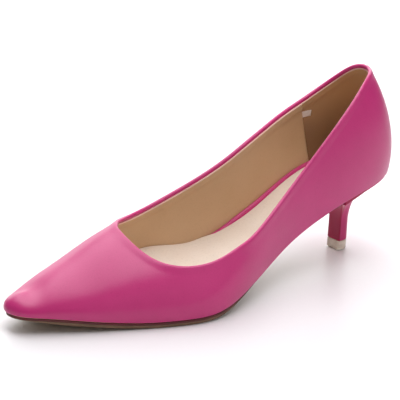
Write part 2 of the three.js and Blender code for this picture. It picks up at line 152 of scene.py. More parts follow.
# Troughs across the sock: x, slant, half width and depth
SOCK_DIPS = (
    (-96, 0.30, 2.6, 0.34), (-104, -0.25, 3.4, 0.22), (-84, 0.18, 2.4, 0.30),
    (-71, -0.35, 3.0, 0.24), (-121, 0.22, 5.0, 0.30), (-57, 0.10, 2.4, 0.20),
    (-45, -0.20, 2.2, 0.16), (-134, -0.15, 4.0, 0.24),
)

# How finely the upper is divided, and how the vamp's columns spread and lean
VAMP_COLUMNS = 54
QUARTER_COLUMNS = 92
COUNTER_COLUMNS = 52
VAMP_SPREAD = 1.15
COLUMN_EASE = 0.45
FAN = 0.26
SHELL_ROWS = 34
SHELL_STEPS = 160

# Rows at set distances from the foot and from the top; they close up where less room is left
FOOT_ROWS = np.array([0, 0.12, 0.3, 0.55, 0.85, 1.2, 1.7])
TOP_ROWS = np.array([8, 6.2, 5.0, 4.2, 3.4, 2.6, 1.9, 1.2, 0.6, 0])
ROW_ROOM = 14

# How finely the sole, insole and sock are divided, and how steeply a curl rises at the edge
PLATE_ROWS = 150
PLATE_ACROSS = 26
PLATE_EASE = 0.35
CUP_POWER = 2.4


# Curves

class Spline:
    """Cubic curve through rows of numbers; closed, or open with free ends or set end slopes."""

    def __init__(self, knots, rows, closed=False, start=None, end=None):
        knots, rows = np.asarray(knots, float), np.asarray(rows, float)
        count, step = len(rows), np.diff(knots)
        matrix, pull = np.zeros((count, count)), np.zeros(rows.shape)
        for i in range(count):
            if closed or 0 < i < count - 1:
                before, after, nxt = step[i - 1], step[i], (i + 1) % count
                matrix[i, i - 1] += before
                matrix[i, i] += 2 * (before + after)
                matrix[i, nxt] += after
                pull[i] = 6 * ((rows[nxt] - rows[i]) / after - (rows[i] - rows[i - 1]) / before)
            elif i == 0 and start is not None:
                matrix[0, :2] = 2 * step[0], step[0]
                pull[0] = 6 * ((rows[1] - rows[0]) / step[0] - start)
            elif i > 0 and end is not None:
                matrix[-1, -2:] = step[-1], 2 * step[-1]
                pull[-1] = 6 * (end - (rows[-1] - rows[-2]) / step[-1])
            else:
                matrix[i, i] = 1
        self.knots, self.rows, self.closed = knots, rows, closed
        self.bend = np.linalg.solve(matrix, pull)

    def __call__(self, t):
        t = np.asarray(t, float)
        knots, rows, bend = self.knots, self.rows, self.bend
        if self.closed:
            t = (t - knots[0]) % (knots[-1] - knots[0]) + knots[0]
        i = np.clip(np.searchsorted(knots, t, side="right") - 1, 0, len(knots) - 2)
        nxt = (i + 1) % len(rows)
        h = (knots[i + 1] - knots[i])[..., None]
        a = knots[i + 1][..., None] - t[..., None]
        a, b = a / h, 1 - a / h
        return (a * rows[i] + b * rows[nxt]
                + ((a ** 3 - a) * bend[i] + (b ** 3 - b) * bend[nxt]) * h * h / 6)


def mix(a, b, t):
    return a + (b - a) * t


def smooth(low, high, value):
    """Soft step from 0 at low to 1 at high; low may be the greater."""
    t = np.clip((value - low) / (high - low), 0, 1)
    return t * t * (3 - 2 * t)


def unit(vectors):
    return vectors / np.maximum(np.linalg.norm(vectors, axis=-1, keepdims=True), 1e-12)


def arc_lengths(points):
    steps = np.linalg.norm(np.diff(points, axis=-2), axis=-1)
    return np.concatenate([np.zeros(steps.shape[:-1] + (1,)), np.cumsum(steps, -1)], -1)


def even_steps(curve, a, b, steps, ease=0.0):
    """Parameters from a to b at even lengths along a curve, closer at both ends with ease."""
    at = np.linspace(a, b, 600)
    length = arc_lengths(curve(at))
    share = np.arange(steps + 1) / steps
    share = share - ease * np.sin(2 * np.pi * share) / (2 * np.pi)
    return np.interp(share * length[-1], length, at)


def bisect(f, low, high):
    """Place between low and high where f changes its sign."""
    rising = f(high) > f(low)
    for _ in range(50):
        middle = (low + high) / 2
        if (f(middle) > 0) == rising:
            high = middle
        else:
            low = middle
    return (low + high) / 2


# The last. u runs 0 at the toe, the lateral side, 1 at the heel's back, the medial side, 2.
# w runs 0 on the feather line to 1 on the ridge.

feather0 = SOLE_THICKNESS + GAP
bottom = Spline(
    PROFILE[:, 0], PROFILE[:, 1:2] * (SEAT_HEIGHT - feather0) + PROFILE[:, 2:] * TOE_SPRING
)


def feather_z(x):
    return feather0 + np.maximum(0, bottom(-np.asarray(x) / LENGTH)[..., 0])


lateral_rows = SECTIONS[:, [0, 1, 4, 7, 9, 10]] * [1, -1, 1, 1, 1, 1]
lateral_rows[0, 1] = SECTIONS[0, 1]
medial_rows = SECTIONS[:, [2, 3, 4, 8, 9, 11]]
ring_rows = np.concatenate([lateral_rows, medial_rows[-2:0:-1]])
chords = (np.roll(ring_rows, -1, 0) - ring_rows)[:, :2] * [LENGTH, BALL_WIDTH]
knots = np.concatenate([[0], np.cumsum(np.linalg.norm(chords, axis=1) ** 0.5)])
half = knots[len(SECTIONS) - 1]
ring = Spline(
    np.where(knots <= half, knots / half, 1 + (knots - half) / (knots[-1] - half)),
    ring_rows,
    closed=True,
)
ridge = Spline(
    1 - SECTIONS[:, 4],
    np.stack([
        SECTIONS[:, 5] * BALL_WIDTH,
        feather_z(-SECTIONS[:, 4] * LENGTH) + SECTIONS[:, 6] * LAST_HEIGHT,
    ], 1),
)


def ridge_point(share):
    side, height = np.moveaxis(ridge(1 - share), -1, 0)
    return np.stack([-share * LENGTH, side, height], -1)


def ridge_slope(share):
    e = 1e-4
    return (ridge(1 - share + e) - ridge(1 - share - e))[..., 1] / (2 * e * LENGTH)


def feather_point(u):
    x, y = np.moveaxis(ring(u)[..., :2], -1, 0)
    x = -x * LENGTH
    return np.stack([x, y * BALL_WIDTH, feather_z(x)], -1)


def feather_normal(u):
    """Outward in plan."""
    e = 1e-4
    change = (ring(u + e) - ring(u - e))[..., :2]
    x, y = change[..., 1] * BALL_WIDTH, change[..., 0] * LENGTH
    return unit(np.stack([x, y, 0 * x], -1))


def last_point(u, w):
    """Point of the last: each section is a cubic curve from the feather line to the ridge."""
    row = ring(u)
    ridge_x, bulge, rise, reach = (row[..., k] for k in (2, 3, 4, 5))
    foot, top = feather_point(u), ridge_point(ridge_x)
    low = foot + feather_normal(u) * (bulge * BALL_WIDTH)[..., None]
    low[..., 2] += rise * (top - foot)[..., 2]
    away = (foot - top) * [1, 1, 0]
    high = top + away * reach[..., None]
    high[..., 2] += reach * away[..., 0] * ridge_slope(ridge_x)
    w = np.asarray(w, float)[..., None]
    v = 1 - w
    return v ** 3 * foot + 3 * v * v * w * low + 3 * v * w * w * high + w ** 3 * top


def last_slopes(u, w):
    """Change of the point along u and along w."""
    e = 1e-3
    low, high = np.maximum(0, w - e), np.minimum(1, w + e)
    along = (last_point(u + e, w) - last_point(u - e, w)) / (2 * e)
    up = (last_point(u, high) - last_point(u, low)) / (high - low)[..., None]
    return along, up


def last_normal(u, w):
    """Outward from the last; on the ridge, where both sides meet, upright across it."""
    along, up = last_slopes(u, w)
    normal = unit(np.cross(along, up))
    slope = ridge_slope(ring(u)[..., 2])
    on_ridge = unit(np.stack([-slope, 0 * slope, 1 + 0 * slope], -1))
    return np.where((w > 1 - 1e-6)[..., None], on_ridge, normal)


def inset_point(u, inset, height=0.0):
    """Point of the feather line moved inwards in plan, at a height above the bottom profile."""
    inset = np.broadcast_to(inset, np.shape(u))
    point = feather_point(u) - feather_normal(u) * inset[..., None]
    point[..., 2] = feather_z(point[..., 0]) + height
    return point


# Top line

def ridge_share(u):
    return ring(u)[..., 2]


throat_lateral = bisect(lambda u: ridge_share(u) - THROAT, 0.02, 0.9)
throat_medial = bisect(lambda u: ridge_share(u) - THROAT, 1.1, 1.98)
top_rows = np.array(
    [[throat_lateral, 1]]
    + [[mix(throat_lateral, 1, way), up] for way, up in TOP_LATERAL]
    + [[1, TOP_BACK]]
    + [[mix(throat_medial, 1, way), up] for way, up in TOP_MEDIAL]
    + [[throat_medial, 1]]
)
TOP_BACK_ROW = len(TOP_LATERAL) + 1
TOP_LAST_ROW = len(top_rows) - 1
top_line = Spline(
    np.arange(len(top_rows)), top_rows,
    start=np.array([-TOP_SWING, -TOP_TURN]), end=np.array([TOP_SWING, TOP_TURN]),
)


def top_point(k):
    u, w = np.moveaxis(top_line(k), -1, 0)
    return last_point(u, np.minimum(1, w))


def below_top(k, depth):
    """u and w of the points that lie depth under the top line, along the leather."""
    e = 1e-4
    k = np.asarray(k, float)
    u, w = np.moveaxis(top_line(k), -1, 0)
    w = np.minimum(1, w)
    inner = np.clip(k, e, TOP_LAST_ROW - e)
    tangent = unit(top_point(inner + e) - top_point(inner - e))
    steps = 6
    for _ in range(steps):
        along, up = last_slopes(u, w)
        down = -unit(np.cross(last_normal(u, w), tangent)) * (depth / steps)
        aa, ab, bb = ((p * q).sum(-1) for p, q in ((along, along), (along, up), (up, up)))
        da, db = (along * down).sum(-1), (up * down).sum(-1)
        det = aa * bb - ab * ab
        u = u + (da * bb - db * ab) / det
        w = np.clip(w + (db * aa - da * ab) / det, 0, 1)
    return u, w


# Meshes

# From the last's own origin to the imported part's, read from where the lift stands
lift_low, lift_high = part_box("top_lift")
shift = np.array([lift_low[0] / MM + STEM_FRONT, (lift_low[1] + lift_high[1]) / (2 * MM), 0])


def add_object(name, data):
    made = bpy.data.objects.new(name, data)
    bpy.context.scene.collection.objects.link(made)
    return made


class Skin:
    """Faces between rows of points; rows that end at the same place are sewn together."""

    def __init__(self):
        self.points, self.faces, self.finish, self.count = [], [], [], 0

    def grid(self, points, finish=0, closed=False):
        """Adds rows of points; finish is the number of the material, closed joins the ends."""
        points = np.asarray(points, float)
        rows, cols = points.shape[:2]
        index = np.arange(rows * cols).reshape(rows, cols) + self.count
        if closed:
            index = np.concatenate([index, index[:, :1]], 1)
        corners = [index[:-1, :-1], index[1:, :-1], index[1:, 1:], index[:-1, 1:]]
        quads = np.stack(corners, -1).reshape(-1, 4)
        self.points.append(points.reshape(-1, 3))
        self.faces.append(quads)
        self.finish.append(np.full(len(quads), finish))
        self.count += rows * cols

    def cap(self, loop):
        """Closes a loop with a fan to its middle."""
        self.grid(np.stack([loop, np.broadcast_to(loop.mean(0), loop.shape)]), closed=True)

    def piece(self, name, materials, replaces, slot, sharp=None):
        """Makes the object; edges bent more than sharp degrees stay crisp."""
        mesh = bpy.data.meshes.new(name)
        points = (np.concatenate(self.points) + shift) * MM
        mesh.from_pydata(points.tolist(), [], np.concatenate(self.faces).tolist())
        mesh.polygons.foreach_set("material_index", np.concatenate(self.finish).astype(np.int32))
        body = bmesh.new()
        body.from_mesh(mesh)
        bmesh.ops.remove_doubles(body, verts=body.verts, dist=2e-6)
        bmesh.ops.dissolve_degenerate(body, edges=body.edges, dist=1e-7)
        bmesh.ops.recalc_face_normals(body, faces=body.faces)
        for face in body.faces:
            face.smooth = True
        if sharp:
            for edge in body.edges:
                edge.smooth = edge.calc_face_angle(0) < math.radians(sharp)
        body.to_mesh(mesh)
        body.free()
        piece = add_object(name, mesh)
        for material in materials:
            mesh.materials.append(material)
        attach(piece, "root")
        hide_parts(*replaces)


def shell_columns(drop):
    """Columns of the upper from the feather line to drop under the top line.

    Gives u at the foot and u and w at the top. The columns run round from the toe by the
    lateral side; the vamp's meet their twins on the ridge. The last of those stands drop in
    front of the throat, and the next lateral one starts where the ridge is cleared.
    """
    near_throat = np.concatenate([
        top_point(np.linspace(0, 1.2, 400)), top_point(TOP_LAST_ROW - np.linspace(0, 1, 300)),
    ])

    def beyond(share):
        return np.linalg.norm(near_throat - ridge_point(share), axis=1).min() - drop

    front = bisect(beyond, THROAT, THROAT + 0.05)
    u_lateral = bisect(lambda u: ridge_share(u) - front, 0.02, 0.9)
    off_ridge = 0.998
    clear = bisect(lambda k: below_top(k, drop)[1] - off_ridge, 0.002, 0.6)
    share = np.arange(VAMP_COLUMNS + 1) / VAMP_COLUMNS
    lean = 1 - FAN * share ** 2
    tops_lateral = u_lateral * share ** VAMP_SPREAD
    ridge_x = ridge_share(tops_lateral)
    tops_medial = np.array([2.0] + [
        bisect(lambda u, x=x: ridge_share(u) - x, 1.1, 2) for x in ridge_x[1:]
    ])
    feet_lateral, feet_medial = tops_lateral * lean, 2 - (2 - tops_medial) * lean

    def side(foot, start, seam_range, foot_range):
        """Columns from the vamp to the heel's back, with one on the counter's seam."""
        seam = bisect(lambda k: top_point(k)[0] + SEAM_TOP, *seam_range)
        seam_foot = bisect(lambda u: feather_point(u)[0] + SEAM_FOOT, *foot_range)
        k = np.concatenate([
            even_steps(top_point, start, seam, QUARTER_COLUMNS, COLUMN_EASE),
            even_steps(top_point, seam, TOP_BACK_ROW, COUNTER_COLUMNS)[1:],
        ])
        feet = np.concatenate([
            even_steps(feather_point, foot, seam_foot, QUARTER_COLUMNS),
            even_steps(feather_point, seam_foot, 1, COUNTER_COLUMNS)[1:],
        ])
        return feet, *below_top(k, drop)

    lateral = side(feet_lateral[-1], clear, (TOP_BACK_ROW - 3, TOP_BACK_ROW), (0.5, 0.999))
    medial = side(feet_medial[-1], TOP_LAST_ROW, (TOP_BACK_ROW, TOP_BACK_ROW + 3), (1.001, 1.5))
    ones = np.ones(VAMP_COLUMNS + 1)
    feet = np.concatenate([
        feet_lateral, lateral[0][1:], medial[0][1:-1][::-1], feet_medial[1:][::-1],
    ])
    tops = np.concatenate([
        tops_lateral, lateral[1][1:], medial[1][1:-1][::-1], tops_medial[1:][::-1],
    ])
    ups = np.concatenate([ones, lateral[2][1:], medial[2][1:-1][::-1], ones[1:]])
    return feet, tops, ups


def shell_grid(drop):
    """u, w, and the distances from the foot and from the top line, over the whole upper.

    The rows keep set distances near the foot and near the top, closer where a column is short.
    """
    feet, tops, ups = shell_columns(drop)
    fine = np.linspace(0, 1, SHELL_STEPS)
    u = mix(feet[:, None], tops[:, None], fine)
    w = ups[:, None] * fine
    length = arc_lengths(last_point(u, w))
    total = length[:, -1:]
    room = np.minimum(1, total / ROW_ROOM)
    near_foot, near_top = FOOT_ROWS * room, total - TOP_ROWS * room
    middle = np.linspace(0, 1, SHELL_ROWS)[1:-1]
    between = mix(near_foot[:, -1:], near_top[:, :1], middle)
    rows = np.concatenate([near_foot, between, near_top], 1)
    at = np.stack([np.interp(r, s, fine) for r, s in zip(rows, length)])
    u = mix(feet[:, None], tops[:, None], at)
    w = np.minimum(1, ups[:, None] * at)
    w[ups >= 1, -1] = 1
    points = last_point(u, w)
    # The top line with three points put in between every two
    line = opening(points)[:, -1]
    line = np.concatenate([mix(line[:-1], line[1:], k / 4) for k in range(4)] + [line[-1:]])
    away = np.linalg.norm(points[:, :, None] - line, axis=-1).min(-1)
    return u, w, rows, away


def opening(points):
    """The columns that end on the top line, from the throat round to the throat."""
    return points[VAMP_COLUMNS : len(points) - VAMP_COLUMNS + 1]


def upper_leather(materials):
    """Outer leather with its inside face, closed by the fold at the top and a strip at the foot."""
    skin = Skin()
    radius = FOLD_RADIUS + FOLD_SWELL / 2
    u, w, from_foot, from_top = shell_grid(radius)
    point, normal = last_point(u, w), last_normal(u, w)
    turn = mix(HEEL_ROUND, FEATHER_ROUND, smooth(-70, -110, point[:, :1, 0]))
    tuck = turn - np.sqrt(np.maximum(0, turn ** 2 - np.maximum(0, turn - from_foot) ** 2))
    from_seam = np.where(point[..., 0] < -20, np.inf, np.abs(point[..., 1]))
    seam = (
        SEAM_GROOVE * np.exp(-(from_seam / GROOVE_WIDTH) ** 2)
        - SEAM_SWELL * np.exp(-((from_seam - SWELL_AT) / SWELL_WIDTH) ** 2)
    )
    doubled = FOLD_SWELL * smooth(FOLD_DEPTH, 0, from_top)
    outer = point - normal * (tuck + seam * smooth(0, 4, from_foot) - doubled)[..., None]
    depth = mix(LEATHER, 2 * FOLD_RADIUS, smooth(FOLD_DEPTH + 1, FOLD_DEPTH, from_top))
    inner = point - normal * depth[..., None]
    inner[:, 0] = inset_point(u[:, 0], LEATHER + FOOT_TUCK)
    skin.grid(outer)
    skin.grid(outer[[-1, 0]])
    skin.grid(inner)
    skin.grid(inner[[-1, 0]])
    # The fold goes in a half circle from the outer face over the top line to the inside face
    rim = opening(np.concatenate([point, normal, outer, inner], -1)[:, -1])
    at, out, top, low = rim[:, :3], rim[:, 3:6], rim[:, 6:9], rim[:, 9:]
    tangent = unit(np.roll(at, -1, 0) - np.roll(at, 1, 0))
    tangent[[0, -1]] = unit(at[1] - at[-2])
    up = unit(np.cross(out, tangent))
    fold = [top]
    for angle in np.linspace(0, math.pi, 13)[1:-1]:
        fold.append(top - out * radius * (1 - math.cos(angle)) + up * radius * math.sin(angle))
    fold.append(low)
    skin.grid(np.stack(fold, 1))
    foot = np.stack([outer[:, 0], inner[:, 0]], 1)
    skin.grid(np.concatenate([foot, foot[:1]]))
    skin.piece("upper_leather", materials, ["upper"], "upper_leather")


def linings(front_materials, back_materials):
    """Quarter and vamp lining in front of the seams, and the counter's lining behind them."""
    u, w, _, from_top = shell_grid(LINING_DROP)
    point, normal = last_point(u, w), last_normal(u, w)
    near_fold = smooth(FOLD_DEPTH + 2, FOLD_DEPTH - 1, from_top)
    behind = mix(LEATHER, 2 * FOLD_RADIUS, near_fold) + LINING_GAP
    first = VAMP_COLUMNS + QUARTER_COLUMNS
    last = len(u) - VAMP_COLUMNS - QUARTER_COLUMNS
    for name, picked, step, materials in (
        ("quarter_lining", np.r_[last : len(u), 0 : first + 1], 0, front_materials),
        ("counter_lining", np.r_[first : last + 1], COUNTER_STEP, back_materials),
    ):
        skin = Skin()
        face = behind + LINING - step
        hidden = (point - normal * behind[..., None])[picked]
        shown = (point - normal * face[..., None])[picked]
        edge = (point - normal * (face - CUT_EDGE)[..., None])[picked]
        shown[:, 0] = inset_point(u[picked, 0], LEATHER + LINING - step)
        hidden[:, 0] = inset_point(u[picked, 0], LEATHER)
        shown[:, -1] = mix(shown[:, -1], shown[:, -2], 0.3)
        skin.grid(shown[:, :-1])
        skin.grid(shown[:, -2:], finish=1)
        skin.grid(hidden)
        skin.grid(np.stack([hidden[:, 0], shown[:, 0]], 1))
        rim = np.stack([hidden[:, -1], edge[:, -1], shown[:, -1]], 1)
        if step:
            skin.grid(rim, finish=1)
        else:
            # The vamp's columns meet on the ridge, so the cut edge runs only beside them
            side = len(u) - VAMP_COLUMNS - last
            skin.grid(rim[: side + 1], finish=1)
            skin.grid(rim[side + 2 * VAMP_COLUMNS :], finish=1)
        for end in (0, -1):
            skin.grid(np.stack([hidden[end], shown[end]], 1), finish=1)
        skin.piece(name, materials, ["upper"], "upper_leather")


def overhang(u, level):
    """How far the last stands out over the feather line in plan, at a height above it."""
    u = np.asarray(u, float)
    foot = feather_point(u)
    low, high = np.zeros(u.shape), np.full(u.shape, 0.6)
    for _ in range(30):
        middle = (low + high) / 2
        above = (last_point(u, middle) - foot)[..., 2] > level
        low, high = np.where(above, low, middle), np.where(above, middle, high)
    return ((last_point(u, high) - foot) * feather_normal(u)).sum(-1)


def plate(laps, end=None, finish=None, swell=None, cup=None):
    """Closed sheet along the bottom profile, as a Skin.

    laps are the outlines that its skin passes through, from underneath over the edge to the
    top. Each is a function of u that gives the inset and the height. finish has the material
    of the bottom, of each strip between two laps and of the top. swell adds to the top's
    height, and cup lifts both sides' edges by a height that depends on x.
    """
    skin = Skin()
    share = np.linspace(0, 1, PLATE_ACROSS + 1)
    grids = []
    for lap in laps:
        sides = []
        for toe, heel in ((0.0, 0.999), (2.0, 1.001)):
            stop = 1.0
            if end is not None:
                reach = mix(toe, 1, 0.5)
                stop = bisect(lambda u: inset_point(u, lap(np.array(u))[0])[0] + end, reach, heel)
            u = even_steps(feather_point, toe, stop, PLATE_ROWS, PLATE_EASE)
            sides.append(inset_point(u, *lap(u)))
        height = lap(u)[1] + 0 * u
        grid = mix(sides[0][:, None], sides[1][:, None], share[:, None])
        grid[..., 2] = feather_z(grid[..., 0]) + height[:, None]
        if cup:
            grid[..., 2] += cup(grid[..., 0]) * np.abs(2 * share - 1) ** CUP_POWER
        grids.append(grid)
    if swell:
        grids[-1][..., 2] += swell(grids[-1]) * np.sin(np.pi * share) ** 0.5
    finish = finish or [0] * (len(laps) + 1)
    skin.grid(grids[0], finish[0])
    loops = [np.concatenate([g[:, 0], g[-1, 1:-1], g[::-1, -1]]) for g in grids]
    for low, high, kind in zip(loops, loops[1:], finish[1:]):
        skin.grid(np.stack([low, high]), kind)
    skin.grid(grids[-1], finish[-1])
    return skin


def outsole(materials):
    """Edge with a rounded lower corner, set in and bevelled to a fine line along the waist."""
    under = -GAP - SOLE_THICKNESS

    def waist(u):
        """0 under the forepart, 1 from the waist to the heel."""
        return smooth(-150, -112, feather_point(u)[..., 0])

    def tip(u):
        """0 behind the toe, 1 at its point."""
        return smooth(-222, -243, feather_point(u)[..., 0])

    def bevel(u):
        return waist(u) + 0.7 * tip(u)

    def set_in(u):
        return SOLE_INSET + WAIST_INSET * waist(u) + 0.4 * tip(u)

    # Inset and height: tread, rounded corner, edge, then the joint up to the upper
    laps = [
        lambda u: (set_in(u) + 0.9 + 4.0 * bevel(u), under),
        lambda u: (set_in(u) + 0.35 + 1.6 * bevel(u), under + 0.12 + 0.75 * bevel(u)),
        lambda u: (set_in(u) + 0.08 + 0.5 * bevel(u), under + 0.40 + 1.0 * bevel(u)),
        lambda u: (set_in(u), under + 0.7 + 0.9 * bevel(u)),
        lambda u: (set_in(u), -1.12),
        lambda u: (set_in(u) + 0.14, -1.05),
        lambda u: (set_in(u) + 0.20, -0.3),
        lambda u: (set_in(u) + 0.9, -0.03),
    ]
    skin = plate(laps, end=HEEL_SEAT_LENGTH + 0.1, finish=[0, 0, 1, 1, 1, 2, 2, 2, 2])
    skin.piece("outsole_edge_and_tread", materials, ["outsole"], "sole", sharp=50)


def roll(u):
    """Height of the pink roll as a share of ROLL_HEIGHT: fullest at the middle of the waist."""
    x = feather_point(u)[..., 0]
    return smooth(-ROLL_START, -ROLL_FULL, x) * mix(0.86, 1.1, np.exp(-((x + 90) / 18) ** 2))


def no_cup(x):
    return 0


def sock_cup(x):
    """How far the sock's edges curl up the walls in front of the ball."""
    return SOCK_CUP * smooth(-117, -148, x) * smooth(-206, -168, x)


def from_lining(away, height, cup=no_cup):
    """Lap at a distance from the lining's face and at a height, both functions of u."""
    def lap(u):
        level = height(u)
        lift = cup(feather_point(u)[..., 0])
        return LEATHER + LINING + away(u) - overhang(u, level + lift), level
    return lap


def insole(materials):
    """Wrapped board: its edge, then over the roll in turns, then its top under the sock."""
    top = INSOLE_THICKNESS
    steps = [(0.7, 0.05, 0), (0.15, 0.35, 0), (0.1, 1.4, 0)]
    for turn in np.linspace(0, 1, 9):
        away = 0.1 + ROLL_WIDTH * (1 - math.cos(turn * math.pi)) / 2
        rise = math.sin(math.pi * (0.22 + 0.78 * turn)) ** 0.75 if turn < 1 else 0.0
        steps.append((away, top, rise))
    steps.append((ROLL_WIDTH + 0.4, top, 0))
    laps = [
        from_lining(
            lambda u, away=away: away,
            lambda u, low=low, rise=rise: low + ROLL_HEIGHT * roll(u) * rise if rise else low,
        )
        for away, low, rise in steps
    ]
    plate(laps).piece("insole_wrap", materials, ["insole"], "insole_cover")


def sock_folds(grid):
    """Soft troughs across the sock where the foam under it gives."""
    x, y = grid[..., 0], grid[..., 1]
    height = 0 * x
    for at, slant, width, depth in SOCK_DIPS:
        from_dip = x - at - slant * y - 1.5 * np.sin(y / 6 + at)
        height = height - depth * np.exp(-(from_dip / width) ** 2)
    return height


def sock(materials):
    """Sock with a rounded edge, set in beside the roll and against the lining in front of it."""
    low = INSOLE_THICKNESS + 0.15
    top = low + SOCK_THICKNESS + 0.15

    def edge(u):
        return mix(0.25, ROLL_WIDTH + 0.02, smooth(0, 0.35, roll(u)))

    laps = [
        from_lining(lambda u, more=more: edge(u) + more, lambda u, level=level: level, sock_cup)
        for more, level in (
            (0.5, low), (0.1, low + 0.2), (0, low + 0.6), (0.08, low + 0.95), (0.35, top - 0.08),
            (0.8, top),
        )
    ]
    sheet = plate(laps, swell=sock_folds, cup=sock_cup)
    sheet.piece("sock_sheet", materials, ["sock"], "sock_leather")


# Heel

def stem_side(share, side):
    """Half of the stem's section, from its front corner to the middle of its back."""
    radius = STEM_WIDTH / 2
    straight = STEM_DEPTH - radius
    way = share * (straight + radius * math.pi / 2)
    turn = np.maximum(0, way - straight) / radius
    x = -STEM_FRONT + np.minimum(way, straight) + radius * np.sin(turn)
    return np.stack([x, side * radius * np.cos(turn), 0 * x], -1)


def soft_corners(lateral, medial, radius, count):
    """Closed section from its two halves: straight front, soft corners, then round the back."""
    a, b = lateral[0], medial[0]
    across = unit(b - a)

    def trimmed(line):
        length = arc_lengths(line)
        at = np.linspace(radius, length[-1], count)
        return np.stack([np.interp(at, length, line[:, k]) for k in range(3)], 1)

    lateral, medial = trimmed(lateral), trimmed(medial)
    t = np.linspace(0, 1, 6)[:, None]
    before, after = a + across * radius, b - across * radius
    first = (1 - t) ** 2 * before + 2 * (1 - t) * t * a + t * t * lateral[0]
    second = (1 - t) ** 2 * medial[0] + 2 * (1 - t) * t * b + t * t * after
    middle = mix(after, before, np.linspace(0, 1, 15)[1:-1, None])
    return np.concatenate([first[:-1], lateral, medial[::-1][1:], second[1:], middle])


def heel_cover(materials):
    """Covered heel: from the lift up the stem, flaring out to the seat under the upper."""
    rows, layers = 160, 60
    share = np.linspace(0, 1, rows + 1)
    seats = []
    for reach, back in ((0.5, 0.999), (1.5, 1.001)):
        front = bisect(lambda u: inset_point(u, HEEL_INSET)[0] + HEEL_SEAT_LENGTH, reach, back)
        around = even_steps(feather_point, front, 1, rows)
        seats.append(inset_point(around, HEEL_INSET, -SEAT_GAP))
    bottom_z = LIFT_HEIGHT + LIFT_GAP
    stems = [stem_side(share, side) + [0, 0, bottom_z] for side in (-1, 1)]
    # As in the part, the stem's straight top goes over into the flare by cubic curves
    sections = []
    for layer in range(layers + 1):
        sides = []
        for stem, seat in zip(stems, seats):
            rim = seat.copy()
            reach = np.minimum(1, (1 + seat[:, 0] / HEEL_SEAT_LENGTH) * 3)
            rim[:, 2] -= mix(SOLE_THICKNESS, HEEL_RIM, reach)
            straight = stem + [0, 0, STEM_STRAIGHT]
            low, high = mix(straight, rim, 0.06), mix(straight, rim, 0.5)
            low[:, 2] = mix(straight[:, 2], rim[:, 2], 0.62)
            high[:, 2] = rim[:, 2] - 0.2 * (rim - straight)[:, 2]
            t = layer / layers
            v = 1 - t
            sides.append(
                v ** 3 * straight + 3 * v * v * t * low + 3 * v * t * t * high + t ** 3 * rim
            )
        sections.append(soft_corners(*sides, BREAST_CORNER, 90))
    foot = sections[0]

    def shrunk(by, z):
        plan, centre = foot[:, :2], foot[:, :2].mean(0)
        return np.concatenate([(plan - centre) * (1 - by) + centre, np.full((len(foot), 1), z)], 1)

    edge = ((0.9, 0), (0.09, 0), (0.03, 0.12), (0, 0.4))
    below = [shrunk(by, bottom_z + z) for by, z in edge]
    stem = [shrunk(0, z) for z in np.linspace(bottom_z + 0.9, foot[0, 2], 16)[:-1]]
    seat = soft_corners(*seats, BREAST_CORNER, 90)
    inner = mix(seat, seat.mean(0), 0.96)
    inner[:, 2] = feather_z(inner[:, 0]) - SEAT_GAP
    middle = mix(seat, seat.mean(0), 0.5)
    middle[:, 2] = feather_z(middle[:, 0]) - SEAT_GAP
    skin = Skin()
    skin.grid(np.stack([*below, *stem, *sections, seat, middle, inner]), closed=True)
    skin.cap(below[0])
    skin.cap(inner)
    skin.piece("heel_cover", materials, ["heel_block"], "heel_cover", sharp=40)


def top_lift(materials):
    """Clear lift with a rounded lower edge and a blind hole for the pin."""
    share = np.linspace(0, 1, 120)
    sides = [stem_side(share, side) for side in (-1, 1)]
    outline = soft_corners(*sides, LIFT_CORNER, 44)
    centre = np.array([-STEM_FRONT + STEM_DEPTH / 2, 0, 0])
    out = unit(outline - centre)
    angle = np.arctan2(out[:, 1], out[:, 0])
    round_pin = np.stack([np.cos(angle), np.sin(angle), 0 * angle], 1)
    hole = centre + (PIN_RADIUS + LIFT_GAP) * round_pin
    rings = [
        outline - out * inset + [0, 0, z]
        for inset, z in (
            (1.4, 0), (0.55, 0), (0.2, 0.12), (0, 0.45), (0, LIFT_HEIGHT - 0.35),
            (0.1, LIFT_HEIGHT - 0.1), (0.35, LIFT_HEIGHT),
        )
    ]
    rings += [hole + [0, 0, LIFT_HEIGHT], hole + [0, 0, LIFT_FLOOR]]
    skin = Skin()
    skin.grid(np.stack(rings), closed=True)
    skin.cap(rings[0])
    skin.cap(rings[-1])
    skin.piece("clear_top_lift", materials, ["top_lift"], "clear_lift", sharp=35)


